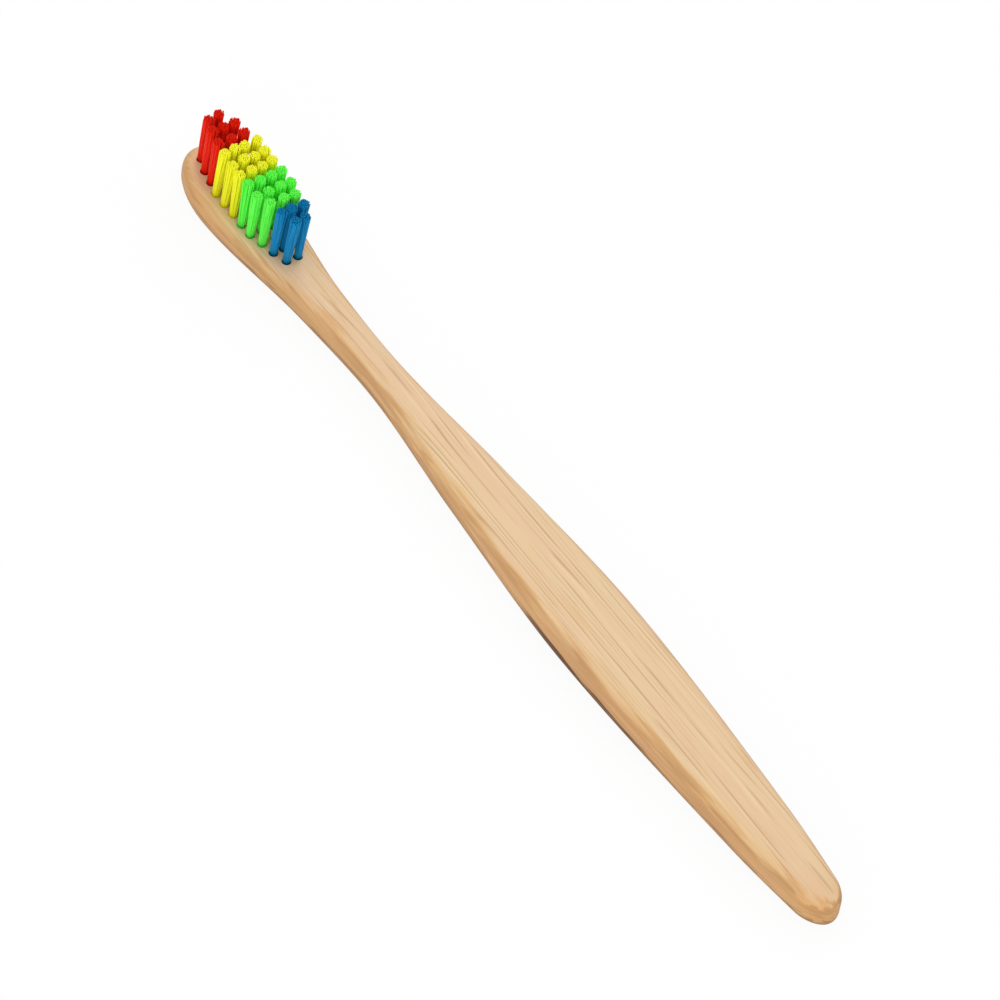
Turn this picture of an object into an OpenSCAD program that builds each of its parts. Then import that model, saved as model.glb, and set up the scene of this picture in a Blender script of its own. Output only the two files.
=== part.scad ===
// Bamboo toothbrush lying on its flat back with the bristles up.
// X runs from the tip of the head to the end of the handle and Z is up.
// The origin is on the back, halfway along the brush.

/* [Length] */
// Overall length of the brush
overall_l = 190; // [170:1:210]
// From the tip of the head to the head's widest place
widest_at = 13; // [11:0.5:16]
// From the tip of the head to the narrowest place of the neck
neck_at = 57; // [48:1:62]

/* [Widths] */
// Width of the head at its widest
head_w = 13.8; // [12.6:0.1:16]
// Width of the neck at its narrowest
neck_w = 6.5; // [6:0.1:9]
// Width of the grip at its widest
grip_w = 15.6; // [13:0.1:19]
// Width that the handle tapers to at its end, before the end is rounded
end_w = 7.2; // [6.8:0.1:11]
// Length of the rounded end of the handle
end_round_l = 5.2; // [4.5:0.1:7]

/* [Thickness] */
// Thickness of the head, which is flat
head_t = 5; // [4.6:0.1:6]
// Thickness of the handle
grip_t = 6.5; // [5:0.1:9]
// Length of the flat part of the head
flat_l = 32; // [31:0.5:36]
// Length over which the top rises from the head to the handle
rise_l = 34; // [30:1:60]
// Radius of the rounding along all edges
edge_r = 2.2; // [0.8:0.1:2.3]

/* [Tufts] */
// Height of the bristles above the head
bristle_h = 11.5; // [9:0.5:13]
// Distance from the tip of the head to the first row of tufts
first_row_at = 3.7; // [3.5:0.1:4.2]
// Distance from one row of tufts to the next
row_pitch = 2.6; // [2.4:0.05:2.65]
// Bare wood between the side of the head and the outer tufts' centres
side_margin = 3.5; // [3.3:0.1:3.9]

/* [Strands] */
// Gap between the strands' rings, and between the inner strands and the tuft's centre
strand_gap = 0.04; // [0.01:0.005:0.06]
// Strands in the outer ring of a tuft
outer_strands = 9; // [7:1:10]
// Strands in the inner ring of a tuft
inner_strands = 3; // [2:1:3]
// Outward lean of the outer strands, in degrees
splay = 0.5; // [0:0.1:0.8]

/* [Tuft holes] */
// Diameter of a tuft hole
hole_d = 1.7; // [1.5:0.05:1.8]
// Depth of a tuft hole
hole_depth = 3.2; // [2.8:0.1:3.6]

/* [Anchors] */
// Width of a flat anchor, which is wider than its hole
anchor_w = 2.2; // [2:0.05:2.4]
// Height of an anchor
anchor_h = 1.4; // [1:0.05:1.6]
// Thickness of an anchor
anchor_t = 0.25; // [0.2:0.01:0.3]
// Turn of the anchors from the length of the brush, in degrees
anchor_turn = 30; // [0:5:45]
// Thickness of the fold of bristles under an anchor
fold_t = 0.45; // [0.3:0.05:0.6]

/* [Clearances] */
// Gap around a tuft's root in its hole
root_gap = 0.03; // [0.01:0.01:0.06]
// Gap around an anchor in its slit
anchor_gap = 0.02; // [0.01:0.01:0.04]

/* [Hidden] */
// The outline's stations between the named widths, as shares of the way from one to the next
shoulder_at_share = 0.6;
shoulder_w_share = 0.75;
flank_at_share = 0.44;
flank_w_share = 0.51;
grip_at_share = 0.49;
tail_at_share = 0.69;
tail_w_share = 0.48;
// Tufts in each row and the row's width as a share of the widest rows, from the tip of the head
row_tufts = [2, 3, 3, 4, 4, 4, 4, 4, 3, 3, 2];
row_w_shares = [0.35, 0.65, 0.79, 1, 1, 1, 1, 1, 0.79, 0.62, 0.35];
// Colour zone of each row
row_zones = [0, 0, 0, 1, 1, 1, 2, 2, 2, 3, 3];
zone_names = ["red", "yellow", "green", "blue"];
zone_colours = [[0.84, 0.13, 0.07], [0.93, 0.84, 0.13], [0.31, 0.86, 0.28], [0.09, 0.42, 0.7]];
bamboo = [0.89, 0.76, 0.59];
brass = [0.78, 0.65, 0.38];
// Most that the edge's rounding may take of the head's thickness and of the handle end's own curve
head_edge_share = 0.46;
end_edge_share = 0.9;
// Radius to the outer strands' flat sides, as a share of the root's radius
tuft_share = 0.93;
// Depth that the strands run into the root, as a share of the hole's depth
sink_share = 0.25;
// Turn from one tuft's strands to the next tuft's, in degrees
tuft_turn = 17;
// Overrun of every cut
over = 0.4;
// Steps along the nose, the side, the end and the rounded edge, and round a hole
nose_steps = 10;
side_steps = 56;
end_steps = 8;
edge_steps = 6;
round_steps = 16;

// A strand's section is a triangle with a flat side outwards and a corner towards
// the tuft's centre, and two of them with their gaps fill the tuft's radius
root_r = hole_d / 2 - root_gap;
strand_depth = root_r * tuft_share / 2 - strand_gap;
strand_r = strand_depth * 2 / 3;
inner_ring_r = strand_gap + strand_r;
outer_ring_r = inner_ring_r + strand_depth + strand_gap;
// Radius of the handle's end at its furthest point, and the edge's rounding within it
end_r = end_w * end_w / 4 / end_round_l;
round_r = min(edge_r, head_t * head_edge_share, end_r * end_edge_share);
field_w = head_w - 2 * side_margin;
grip_at = between(neck_at, overall_l, grip_at_share);
hole_z = head_t - hole_depth;
anchor_z = hole_z + fold_t;
tufts = [for (row = [0 : len(row_tufts) - 1]) for (place = [0 : row_tufts[row] - 1]) [row, place]];

function between(a, b, share) = a + (b - a) * share;

// A tuft's name: its colour, its row from the tip and its place in the row
function tuft_name(t) = str(zone_names[row_zones[t[0]]], "_tuft_", t[0] + 1, "_", t[1] + 1);

// Where a tuft stands, measured from the tip of the head
function tuft_x(t) = first_row_at + t[0] * row_pitch;
function tuft_y(t) = (t[1] / (row_tufts[t[0]] - 1) - 1 / 2) * field_w * row_w_shares[t[0]];

// Stations of the outline: distance from the tip of the head and half width
stations = [
    [widest_at, head_w / 2],
    [between(widest_at, neck_at, shoulder_at_share), between(head_w, neck_w, shoulder_w_share) / 2],
    [neck_at, neck_w / 2],
    [between(neck_at, grip_at, flank_at_share), between(neck_w, grip_w, flank_w_share) / 2],
    [grip_at, grip_w / 2],
    [between(grip_at, overall_l, tail_at_share), between(grip_w, end_w, tail_w_share) / 2],
    [overall_l, end_w / 2]
];

// Slope of the outline between two stations, and at a station: level where the
// outline turns back, and otherwise a mean of the slopes on either side
function chord(i) = (stations[i + 1][1] - stations[i][1]) / (stations[i + 1][0] - stations[i][0]);
function mean_slope(a, b) = a * b <= 0 ? 0 : 2 * a * b / (a + b);
function slope(i) =
    i == 0 ? 0 :
    i == len(stations) - 1 ? chord(i - 1) :
    mean_slope(chord(i - 1), chord(i));

// Smooth curve through the stations
function curve(x, i) =
    let (
        a = stations[i],
        b = stations[i + 1],
        l = b[0] - a[0],
        u = (x - a[0]) / l
    )
    a[1] * (1 + 2 * u) * (1 - u) * (1 - u) + slope(i) * l * u * (1 - u) * (1 - u)
    + b[1] * u * u * (3 - 2 * u) - slope(i + 1) * l * u * u * (1 - u);
function side_w(x, i = 0) =
    i < len(stations) - 2 && x > stations[i + 1][0] ? side_w(x, i + 1) : curve(x, i);

// Thickness of the brush at a distance from the tip of the head
function rise(u) = u <= 0 ? 0 : u >= 1 ? 1 : u * u * (3 - 2 * u);
function thick(x) = between(head_t, grip_t, rise((x - flat_l) / rise_l));

// Half of the outline from the tip to the end: a round nose, the sides and a round end
nose = [for (k = [0 : nose_steps - 1])
    let (a = 90 * k / nose_steps)
    [widest_at * (1 - cos(a)), head_w / 2 * sin(a)]];
sides = [for (k = [0 : side_steps])
    let (x = between(widest_at, overall_l - end_round_l, k / side_steps))
    [x, side_w(x)]];
end = [for (k = [1 : end_steps])
    let (a = 90 * k / end_steps, x = overall_l - end_round_l * (1 - sin(a)))
    [x, side_w(x) * cos(a)]];
outline = concat(nose, sides, end);
last = len(outline) - 1;

// Outward direction at a point of the outline
function outward(i) =
    i == 0 ? [-1, 0] :
    i == last ? [1, 0] :
    let (d = outline[i + 1] - outline[i - 1])
    [-d[1], d[0]] / norm(d);

// The edge's section as insets from the outline and heights, of the back and of the top
section = [for (k = [0 : edge_steps])
    let (a = 90 * k / edge_steps)
    [round_r * (1 - sin(a)), round_r * (1 - cos(a))]];
levels = concat(
    [for (k = [0 : edge_steps]) [section[k][0], 0, section[k][1]]],
    [for (k = [edge_steps : -1 : 0]) [section[k][0], 1, -section[k][1]]]
);

// Point of a level on one side of the brush
function skin_point(level, i, side) =
    let (p = outline[i] - outward(i) * level[0])
    [p[0], p[1] * side, level[1] * thick(outline[i][0]) + level[2]];
loop = 2 * last;
function level_points(level) = concat(
    [for (i = [0 : last]) skin_point(level, i, 1)],
    [for (i = [last - 1 : -1 : 1]) skin_point(level, i, -1)]
);
// Index of the point opposite to the outline's point i
function opposite(i) = (loop - i) % loop;

module handle_blank() {
    top = (len(levels) - 1) * loop;
    polyhedron(
        points = [for (level = levels) each level_points(level)],
        faces = concat(
            [for (j = [0 : len(levels) - 2]) for (i = [0 : loop - 1])
                let (n = (i + 1) % loop)
                [j * loop + i, j * loop + n, (j + 1) * loop + n, (j + 1) * loop + i]],
            [[for (i = [loop - 1 : -1 : 0]) i]],
            [for (i = [0 : last - 1])
                i == 0 ? [top, top + 1, top + opposite(1)] :
                i == last - 1 ? [top + i, top + last, top + opposite(i)] :
                [top + i, top + i + 1, top + opposite(i + 1), top + opposite(i)]]
        ),
        convexity = 4
    );
}

// Moves a tuft's parts from the origin to the tuft's place on the head
module at_tuft(t) {
    translate([tuft_x(t), tuft_y(t), 0]) children();
}

// Moves the whole brush so that the origin is halfway along it
module on_back() {
    translate([-overall_l / 2, 0, 0]) children();
}

// A flat anchor, or with a gap the slit that it is pressed into
module anchor(gap = 0) {
    rotate(anchor_turn)
        translate([-anchor_w / 2 - gap, -anchor_t / 2 - gap, anchor_z])
            cube([anchor_w + 2 * gap, anchor_t + 2 * gap, anchor_h + gap]);
}

module handle() {
    color(bamboo) on_back() difference() {
        handle_blank();
        for (t = tufts) at_tuft(t) {
            translate([0, 0, hole_z]) cylinder(d = hole_d, h = hole_depth + over, $fn = round_steps);
            anchor(anchor_gap);
        }
    }
}

module tuft_anchors() {
    color(brass) on_back() for (t = tufts) at_tuft(t) anchor();
}

// One ring of three-sided strands, sunk into the root and leaning outwards
module strand_ring(count, ring_r, lean) {
    sink = hole_depth * sink_share;
    for (k = [0 : count - 1])
        rotate(360 * k / count)
            translate([ring_r, 0, head_t - sink])
                rotate([0, lean, 0])
                    rotate(180)
                        cylinder(r = strand_r, h = bristle_h + sink, $fn = 3);
}

// The root of a tuft, packed in its hole and folded round the anchor
module tuft_root() {
    difference() {
        translate([0, 0, hole_z]) cylinder(r = root_r, h = hole_depth, $fn = round_steps);
        rotate(anchor_turn)
            translate([-hole_d / 2, -anchor_t / 2 - anchor_gap, anchor_z])
                cube([hole_d, anchor_t + 2 * anchor_gap, anchor_h + anchor_gap]);
    }
}

module tuft(t) {
    color(zone_colours[row_zones[t[0]]]) on_back() at_tuft(t) {
        tuft_root();
        rotate(tuft_turn * (t[0] * max(row_tufts) + t[1])) {
            strand_ring(outer_strands, outer_ring_r, splay);
            strand_ring(inner_strands, inner_ring_r, splay * inner_ring_r / outer_ring_r);
        }
    }
}

handle();
tuft_anchors();
for (t = tufts) {
    tuft(t);
}
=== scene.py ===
# %% [markdown]
# # A bamboo toothbrush
#
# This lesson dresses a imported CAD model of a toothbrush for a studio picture. The
# handle is one piece of bamboo. Its oval head carries 36 tufts of nylon bristles in
# four colours. The CAD model holds the exact sizes and places, so every piece below
# takes its place from it, and nothing has to be fitted by eye.
#
# Blender works in metres here. A toothbrush is small, so the sizes are written in
# millimetres and multiplied by MM.

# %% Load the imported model
import math
import random

import bmesh
import bpy
from mathutils import Matrix, Vector


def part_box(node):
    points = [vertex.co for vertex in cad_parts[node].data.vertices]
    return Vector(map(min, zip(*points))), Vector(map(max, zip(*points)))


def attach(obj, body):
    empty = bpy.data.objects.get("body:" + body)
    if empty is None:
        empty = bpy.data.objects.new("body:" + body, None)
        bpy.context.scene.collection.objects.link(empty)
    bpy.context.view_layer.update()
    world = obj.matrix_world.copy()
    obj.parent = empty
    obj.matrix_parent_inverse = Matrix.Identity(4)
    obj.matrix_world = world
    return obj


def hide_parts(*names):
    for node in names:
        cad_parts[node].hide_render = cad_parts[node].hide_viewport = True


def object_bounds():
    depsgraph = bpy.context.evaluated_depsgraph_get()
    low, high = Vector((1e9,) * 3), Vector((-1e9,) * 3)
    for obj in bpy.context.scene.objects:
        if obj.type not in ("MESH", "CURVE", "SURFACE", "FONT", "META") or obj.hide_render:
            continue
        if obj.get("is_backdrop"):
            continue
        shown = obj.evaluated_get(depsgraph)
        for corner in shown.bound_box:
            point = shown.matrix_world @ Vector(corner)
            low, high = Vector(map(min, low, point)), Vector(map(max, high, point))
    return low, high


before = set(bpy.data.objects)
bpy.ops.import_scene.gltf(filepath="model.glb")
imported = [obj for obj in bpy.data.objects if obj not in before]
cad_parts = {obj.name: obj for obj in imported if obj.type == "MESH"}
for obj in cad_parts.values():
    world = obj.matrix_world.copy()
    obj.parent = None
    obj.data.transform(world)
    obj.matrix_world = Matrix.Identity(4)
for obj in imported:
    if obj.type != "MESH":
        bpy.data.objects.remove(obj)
cad_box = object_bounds()
MM = 0.001
handle_low, handle_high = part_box("handle")
brush_length = handle_high.x - handle_low.x
grip_width = handle_high.y - handle_low.y
print(len(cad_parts), "CAD nodes; the handle is", round(brush_length / MM, 2), "mm long and",
      round(grip_width / MM, 2), "mm wide")

# %% [markdown]
# ## The camera
#
# The picture is taken from far away with a long lens, so the brush hardly narrows
# towards its far end. A camera could be aimed with a Track To constraint. Here its
# three axes are worked out from an azimuth, an elevation and a roll instead, because
# the brush lies at a slant in the picture and a constraint would undo the roll.

# %% Place the camera
AZIMUTH = math.radians(46.4)
ELEVATION = math.radians(48.7)
ROLL = math.radians(11.9)
CAMERA_DISTANCE = 2685 * MM
VIEW_WIDTH = 167.3 * MM
AIM_HEIGHT = 3.4 * MM
AIM_RIGHT = -1.35 * MM
AIM_UP = 4.32 * MM
SENSOR_WIDTH = 36


def camera_axes():
    """Right, up and backward directions of the camera."""
    level = Vector((math.cos(AZIMUTH), math.sin(AZIMUTH), 0))
    back = Vector((math.sin(AZIMUTH) * math.cos(ELEVATION),
                   -math.cos(AZIMUTH) * math.cos(ELEVATION),
                   math.sin(ELEVATION)))
    upright = back.cross(level)
    right = level * math.cos(ROLL) + upright * math.sin(ROLL)
    up = upright * math.cos(ROLL) - level * math.sin(ROLL)
    return right, up, back


right, up, back = camera_axes()
aim = Vector((0, 0, AIM_HEIGHT)) + right * AIM_RIGHT + up * AIM_UP
bpy.ops.object.camera_add(
    location=aim + back * CAMERA_DISTANCE,
    rotation=Matrix((right, up, back)).transposed().to_euler(),
)
camera = bpy.context.object
camera.name = "studio_camera"
camera.data.sensor_width = SENSOR_WIDTH
camera.data.lens = SENSOR_WIDTH * CAMERA_DISTANCE / VIEW_WIDTH
bpy.context.scene.camera = camera
print("lens", round(camera.data.lens), "mm")

# %% [markdown]
# ## A helper for shader nodes
#
# Every finish below is a small tree of shader nodes. Written out in full, each node
# takes a line to make it, one for each setting and one for each link. The helper
# does all of that in one call, so a finish reads like a short recipe.

# %% Helpers for shader nodes
def put_value(tree, socket, value):
    """Links the value to the socket if it comes from a node, and otherwise writes it there."""
    if isinstance(value, bpy.types.NodeSocket):
        tree.links.new(value, socket)
    else:
        socket.default_value = value


def add_node(tree, kind, inputs=None, **settings):
    """Adds a shader node with its settings, and its inputs by name or number."""
    node = tree.nodes.new("ShaderNode" + kind)
    for name, value in settings.items():
        setattr(node, name, value)
    for name, value in (inputs or {}).items():
        put_value(tree, node.inputs[name], value)
    return node


def calculate(tree, operation, *values):
    """A Math node's result."""
    return add_node(tree, "Math", dict(enumerate(values)), operation=operation).outputs[0]


def times(tree, first, second):
    """The product of two values. For two masks, that is where both of them are."""
    return calculate(tree, "MULTIPLY", first, second)


def seen_directly(tree):
    """1 for rays from the camera and rays that a glossy or clear surface sends on."""
    path = add_node(tree, "LightPath").outputs
    bounced = calculate(tree, "MAXIMUM", path["Is Glossy Ray"], path["Is Transmission Ray"])
    return calculate(tree, "MAXIMUM", path["Is Camera Ray"], bounced)


# %% [markdown]
# ## The studio
#
# The picture has a pure white background and very soft light from all round. A weak
# softbox above the far side lights the top, and a low one in front lights the near
# sides of the tufts. More lamps would bleach the bamboo before the floor turned white.
# So the lamps light the brush at a plain level, and the floor and the air look white
# only to the camera and to reflections, by the Light Path node. The floor keeps part
# of its own shading, so the brush still has a faint shadow. The Standard view then
# shows each colour as it is written.

# %% Light the studio
AIR_LIGHT = 0.87
LAMP_SIZE = 0.9
LAMP_DISTANCE = 1.5
LAMPS = {
    "top_softbox": {"side": (-0.5, 0.65, 0.9), "watts": 3.4},
    "front_softbox": {"side": (0.6, -0.75, 0.25), "watts": 5},
}
WHITE = (1, 1, 1, 1)

bpy.context.scene.view_settings.view_transform = "Standard"
air = bpy.data.worlds.new("studio_air")
bpy.context.scene.world = air
air.use_nodes = True
air.node_tree.nodes.clear()
soft_light = add_node(air.node_tree, "Background", {"Color": WHITE, "Strength": AIR_LIGHT})
white_air = add_node(air.node_tree, "Background", {"Color": WHITE, "Strength": 1})
air_mix = add_node(air.node_tree, "MixShader", {
    0: seen_directly(air.node_tree), 1: soft_light.outputs[0], 2: white_air.outputs[0]})
add_node(air.node_tree, "OutputWorld", {"Surface": air_mix.outputs[0]})

for name, plan in LAMPS.items():
    side = Vector(plan["side"]).normalized()
    bpy.ops.object.light_add(
        type="AREA", location=side * LAMP_DISTANCE,
        rotation=side.to_track_quat("Z", "Y").to_euler())
    lamp = bpy.context.object
    lamp.name = name
    lamp.data.size = LAMP_SIZE
    lamp.data.energy = plan["watts"]
print(len(LAMPS), "softboxes", LAMP_SIZE, "m wide,", LAMP_DISTANCE, "m away")

# %% Lay the floor
FLOOR_SIZE = 8
FLOOR_DROP = 0.1 * MM
FLOOR_GREY = (0.94, 0.94, 0.94, 1)
WHITE_SHARE = 0.93

bpy.ops.mesh.primitive_plane_add(size=FLOOR_SIZE, location=(0, 0, -FLOOR_DROP))
floor = bpy.context.object
floor.name = "studio_floor"
paper = bpy.data.materials.new("white_paper")
paper.use_nodes = True
paper.node_tree.nodes.clear()
shaded_paper = add_node(paper.node_tree, "BsdfDiffuse", {"Color": FLOOR_GREY})
white_paper = add_node(paper.node_tree, "Emission", {"Color": WHITE, "Strength": 1})
paper_share = times(paper.node_tree, seen_directly(paper.node_tree), WHITE_SHARE)
paper_mix = add_node(paper.node_tree, "MixShader", {
    0: paper_share, 1: shaded_paper.outputs[0], 2: white_paper.outputs[0]})
add_node(paper.node_tree, "OutputMaterial", {"Surface": paper_mix.outputs[0]})
floor.data.materials.append(paper)
floor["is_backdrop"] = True
print("floor", FLOOR_SIZE, "m wide")

# %% [markdown]
# ## Selecting by place
#
# By hand a modeller clicks on the edges and faces that the next tool should change.
# A script has no mouse, so it picks them by where they are or which way they face.
# An operator acts on all that is selected, and the CAD nodes come in selected, so
# everything is deselected first.

# %% Helpers for selecting
def pick(*pieces):
    """Selects only these objects and makes the first one active."""
    bpy.ops.object.select_all(action="DESELECT")
    for piece in pieces:
        piece.select_set(True)
    bpy.context.view_layer.objects.active = pieces[0]


def choose(piece, kind, wanted):
    """In edit mode, selects the parts of a kind, VERT, EDGE or FACE, that pass the test."""
    bpy.ops.mesh.select_mode(type=kind)
    bpy.ops.mesh.select_all(action="DESELECT")
    shape = bmesh.from_edit_mesh(piece.data)
    shape.normal_update()
    parts = {"VERT": shape.verts, "EDGE": shape.edges, "FACE": shape.faces}[kind]
    chosen = [part for part in parts if wanted(part)]
    for part in chosen:
        part.select_set(True)
    bmesh.update_edit_mesh(piece.data)
    return len(chosen)


def apply_modifier(piece, kind, **settings):
    """Adds a modifier with its settings and applies it."""
    pick(piece)
    modifier = piece.modifiers.new(kind.lower(), kind)
    for name, value in settings.items():
        setattr(modifier, name, value)
    bpy.ops.object.modifier_apply(modifier=modifier.name)


def open_edges(piece):
    """Counts the edges that don't join exactly two faces. A closed piece has none."""
    shape = bmesh.new()
    shape.from_mesh(piece.data)
    count = sum(not edge.is_manifold for edge in shape.edges)
    shape.free()
    return count


# %% [markdown]
# ## The outline of the handle
#
# On the real brush the outline is milled from a bamboo strip by a shaped cutter: a
# round nose, a waist for the neck, a belly for the grip and a round end. It could be
# drawn as a Bezier curve. Here a few stations give the half width at the places that
# count, and a smooth cubic curve joins them, because the same curve shaped the CAD
# model and the two have to match to a fraction of a millimetre.

# %% Join the stations
HEAD_WIDTH = 13.8 * MM
END_WIDTH = 7.2 * MM
STATIONS = {
    "widest of the head": (13 * MM, HEAD_WIDTH / 2),
    "shoulder": (39.4 * MM, 4.1625 * MM),
    "neck": (57 * MM, 3.25 * MM),
    "flank": (85.699 * MM, 5.5705 * MM),
    "widest of the grip": (122.17 * MM, grip_width / 2),
    "tail": (168.973 * MM, 5.784 * MM),
    "end": (brush_length, END_WIDTH / 2),
}
stations = list(STATIONS.values())


def rate(i):
    """How fast the half width grows from station i to the next."""
    return (stations[i + 1][1] - stations[i][1]) / (stations[i + 1][0] - stations[i][0])


def slope(i):
    """The outline's slope at a station, level where the outline turns back."""
    if i == 0:
        return 0
    if i == len(stations) - 1:
        return rate(i - 1)
    before, after = rate(i - 1), rate(i)
    return 0 if before * after <= 0 else 2 * before * after / (before + after)


def half_width(along):
    """Half the handle's width at a distance from the tip of the head."""
    i = max(k for k in range(len(stations) - 1) if k == 0 or along > stations[k][0])
    (start, w0), (stop, w1) = stations[i], stations[i + 1]
    length = stop - start
    u = (along - start) / length
    return (w0 * (1 + 2 * u) * (1 - u) ** 2 + slope(i) * length * u * (1 - u) ** 2
            + w1 * u * u * (3 - 2 * u) - slope(i + 1) * length * u * u * (1 - u))


widths = ", ".join(f"{name} {2 * half_width(along) / MM:.2f}" for name, (along, _) in STATIONS.items())
print("widths in mm:", widths)

# %% Work out the outline
END_ROUND = 5.2 * MM
NOSE_STEPS = 18
SIDE_STEPS = 96
END_STEPS = 16


def outline_points():
    """Distances from the tip and half widths, from the tip of the head to the end."""
    wide_at, shoulders_end = stations[0][0], brush_length - END_ROUND
    points = []
    for k in range(NOSE_STEPS):
        turn = math.pi / 2 * k / NOSE_STEPS
        points.append((wide_at * (1 - math.cos(turn)), HEAD_WIDTH / 2 * math.sin(turn)))
    for k in range(SIDE_STEPS + 1):
        along = wide_at + (shoulders_end - wide_at) * k / SIDE_STEPS
        points.append((along, half_width(along)))
    for k in range(1, END_STEPS + 1):
        turn = math.pi / 2 * k / END_STEPS
        along = brush_length - END_ROUND * (1 - math.sin(turn))
        points.append((along, half_width(along) * math.cos(turn)))
    return points


outline = outline_points()
print(len(outline), "points along the outline, drawn through", len(stations), "stations")

# %% [markdown]
# ## The handle's blank
#
# The milled strip is flat on both faces, and its top steps down gently from the
# handle to the thinner head. It could be a subdivided box, but a box has no round
# nose. So a small plane at the tip is drawn out along the brush, one extrude and one
# resize for each point of the outline, as a modeller would trace a drawing, and the
# finished outline is then extruded upwards.

# %% Trace the outline
TOUCHING = 0.01 * MM


def draw_out(points):
    """A flat shape that follows the outline, from a plane at the tip."""
    (tip, _), (first, first_width) = points[0], points[1]
    middle = handle_low.x + (tip + first) / 2
    bpy.ops.object.select_all(action="DESELECT")
    bpy.ops.mesh.primitive_plane_add(size=1, location=(middle, 0, 0))
    blank = bpy.context.object
    blank.scale = (first - tip, 2 * first_width, 1)
    bpy.ops.object.transform_apply(location=True, rotation=True, scale=True)
    bpy.ops.object.mode_set(mode="EDIT")
    choose(blank, "VERT", lambda v: v.co.x < middle)
    bpy.ops.mesh.merge(type="CENTER")
    choose(blank, "EDGE", lambda e: all(v.co.x > middle for v in e.verts))
    for (x0, w0), (x1, w1) in zip(points[1:], points[2:]):
        bpy.ops.mesh.extrude_region_move(TRANSFORM_OT_translate={"value": (x1 - x0, 0, 0)})
        bpy.ops.transform.resize(value=(1, w1 / w0, 1), center_override=(handle_low.x + x1, 0, 0))
    bpy.ops.mesh.select_all(action="SELECT")
    bpy.ops.mesh.remove_doubles(threshold=TOUCHING)
    return blank


handle = draw_out(outline)
handle.name = "bamboo_handle"
handle.data.name = "bamboo_handle"
bpy.ops.object.mode_set(mode="OBJECT")
print("outline drawn with", len(handle.data.polygons), "faces")

# %% Give it thickness
HEAD_THICKNESS = 5 * MM
HANDLE_THICKNESS = handle_high.z
FLAT_LENGTH = 32 * MM
RISE_LENGTH = 34 * MM


def top_at(x):
    """Height of the top at a place along the brush."""
    u = min(1, max(0, (x - handle_low.x - FLAT_LENGTH) / RISE_LENGTH))
    return HEAD_THICKNESS + (HANDLE_THICKNESS - HEAD_THICKNESS) * u * u * (3 - 2 * u)


pick(handle)
bpy.ops.object.mode_set(mode="EDIT")
bpy.ops.mesh.select_all(action="SELECT")
bpy.ops.mesh.extrude_region_move(TRANSFORM_OT_translate={"value": (0, 0, HEAD_THICKNESS)})
bpy.ops.mesh.select_all(action="SELECT")
bpy.ops.mesh.normals_make_consistent(inside=False)
for along, _ in outline:
    x = handle_low.x + along
    lift = top_at(x) - HEAD_THICKNESS
    if lift > 0:
        choose(handle, "VERT", lambda v: abs(v.co.x - x) < TOUCHING and v.co.z > HEAD_THICKNESS / 2)
        bpy.ops.transform.translate(value=(0, 0, lift))
bpy.ops.object.mode_set(mode="OBJECT")
print("blank", [round(side / MM, 2) for side in handle.dimensions], "mm")

# %% [markdown]
# ## Rounding the edges
#
# A round-over cutter and then sanding take all the sharp edges off the strip. A bevel
# does the same. It slides each edge's new points along the edges that meet it, and
# round the nose the strips' cross edges would lead it astray, so the flat stretches
# become one face each first. Only the slope of the neck keeps its cross edges.

# %% Round the edges
EDGE_ROUND = 2.2 * MM
ROUND_STEPS = 8
FLATTEST = 0.7
LEVEL = 0.001 * MM


def facing(face, side):
    """Whether a face looks mostly up (1) or down (-1)."""
    return face.normal.z * side > FLATTEST


def level_at(face, height):
    """Whether all of a face lies at one height."""
    return all(abs(v.co.z - height) < LEVEL for v in face.verts)


def is_rim(edge):
    """Whether an edge lies between a side wall and the top or the back."""
    return sorted(abs(round(face.normal.z)) for face in edge.link_faces) == [0, 1]


bpy.ops.object.mode_set(mode="EDIT")
for height, side in ((0, -1), (HEAD_THICKNESS, 1), (HANDLE_THICKNESS, 1)):
    choose(handle, "FACE", lambda f: facing(f, side) and level_at(f, height))
    bpy.ops.mesh.dissolve_faces()
rims = choose(handle, "EDGE", is_rim)
bpy.ops.mesh.bevel(offset=EDGE_ROUND, segments=ROUND_STEPS, affect="EDGES", clamp_overlap=False)
bpy.ops.object.mode_set(mode="OBJECT")
print(rims, "edges rounded,", len(handle.data.polygons), "faces")

# %% [markdown]
# ## Where the tufts stand
#
# Eleven rows of blind holes take the tufts, two at the tip of the head, four across
# its middle and two towards the neck. The rows could be read one by one from the CAD
# nodes. A pitch and the rows' counts give the same places, and the CAD nodes then
# only confirm them.

# %% Work out the tufts' places
FIRST_ROW = 3.7 * MM
ROW_PITCH = 2.6 * MM
FIELD_WIDTH = 6.8 * MM
ROW_TUFTS = [2, 3, 3, 4, 4, 4, 4, 4, 3, 3, 2]
ROW_SHARES = [0.35, 0.65, 0.79, 1, 1, 1, 1, 1, 0.79, 0.62, 0.35]
ROW_COLOURS = ["red"] * 3 + ["yellow"] * 3 + ["green"] * 3 + ["blue"] * 2
tuft_places = {}
for row, (count, share, colour) in enumerate(zip(ROW_TUFTS, ROW_SHARES, ROW_COLOURS)):
    for place in range(count):
        x = handle_low.x + FIRST_ROW + row * ROW_PITCH
        y = (place / (count - 1) - 1 / 2) * FIELD_WIDTH * share
        tuft_places[f"{colour}_tuft_{row + 1}_{place + 1}"] = Vector((x, y, 0))


def off_centre(name):
    """How far a tuft's place is from the middle of its CAD node."""
    low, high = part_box(name)
    middle = (low + high) / 2
    return (Vector((middle.x, middle.y, 0)) - tuft_places[name]).length


furthest = max(map(off_centre, tuft_places))
print(len(tuft_places), "tufts, at most", round(furthest / MM, 2), "mm off the CAD")

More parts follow.
